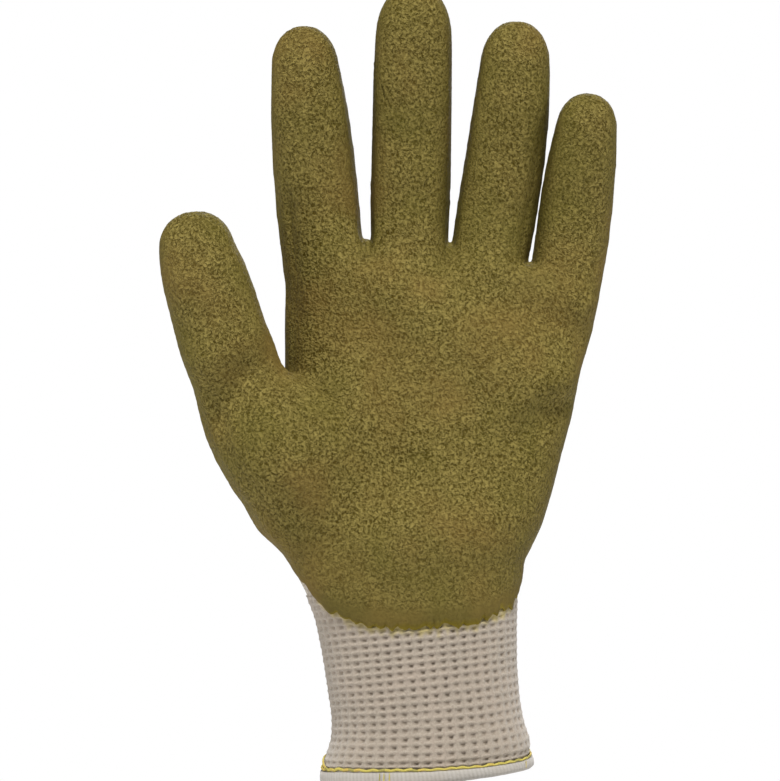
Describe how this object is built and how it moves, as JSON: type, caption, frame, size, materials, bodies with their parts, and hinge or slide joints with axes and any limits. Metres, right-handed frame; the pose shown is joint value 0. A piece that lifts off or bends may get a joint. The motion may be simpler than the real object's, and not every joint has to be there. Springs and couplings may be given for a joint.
{
  "type": "latex coated grip glove",
  "caption": "Left-hand knitted work glove with a crinkled latex palm and fingertips, an elastic mesh cuff and an overlocked hem, open at the wrist.",
  "frame": {"origin": "centre of the glove's mouth, where the hand goes in", "axes": "+Z from the mouth towards the fingertips, the palm faces -Y, the thumb points to -X"},
  "size_m": [0.1408, 0.0554, 0.2486],
  "materials": {
    "knit_hand": "beige cotton and polyester plain knit",
    "knit_cuff": "beige open mesh knit with elastic courses",
    "hem_band": "off-white overlock stitching",
    "hem_thread": "yellow overlock thread",
    "latex_coating": "olive crinkled latex, matt with a low sheen"
  },
  "bodies": {
    "root": {"knit_hand": "knit_hand", "knit_cuff": "knit_cuff", "hem_band": "hem_band", "hem_thread": "hem_thread", "latex_coating": "latex_coating"}
  },
  "joints": []
}
